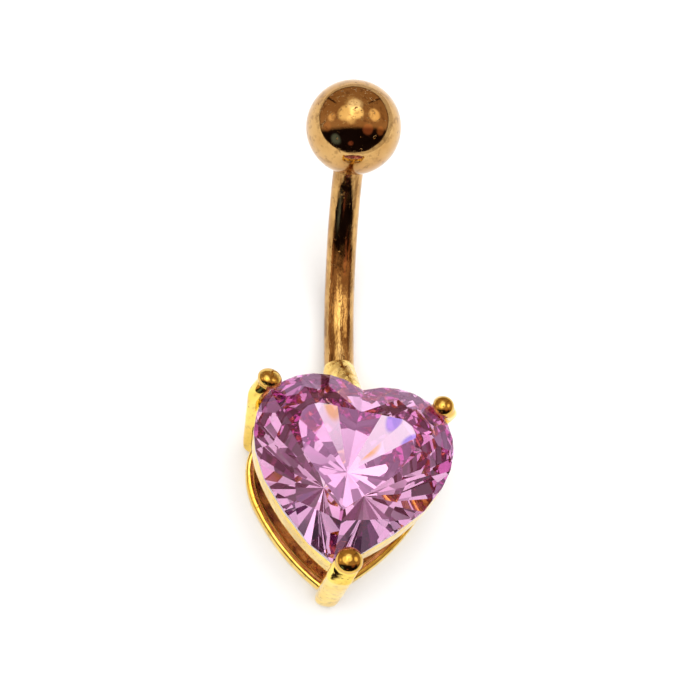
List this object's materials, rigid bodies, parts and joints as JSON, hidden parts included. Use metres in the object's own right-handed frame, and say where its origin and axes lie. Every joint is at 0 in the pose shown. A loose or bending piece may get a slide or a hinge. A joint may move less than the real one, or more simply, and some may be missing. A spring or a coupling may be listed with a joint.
{
  "type": "curved navel ring",
  "caption": "Curved barbell navel ring with a screw ball and a faceted heart stone held by prongs in an open basket.",
  "frame": {"origin": "middle of the heart basket, on the plane of the underside of its base rail", "axes": "+Z out of the stone's table, +Y from the basket along the bar towards the ball, +X to the right of the ball's side seen from above the table"},
  "size_m": [0.0108, 0.0263, 0.0102],
  "materials": {
    "rose_gold": "polished",
    "yellow_gold": "polished",
    "pink_stone": "polished"
  },
  "bodies": {
    "bar": {"bar_and_setting": "yellow_gold", "heart_stone": "pink_stone"},
    "ball": {"ball": "rose_gold"}
  },
  "joints": [
    {"name": "ball_unscrew", "type": "slide", "parent": "bar", "child": "ball", "axis": [0, 0.5, 0.866], "range_m": [0, 0.0024]}
  ]
}
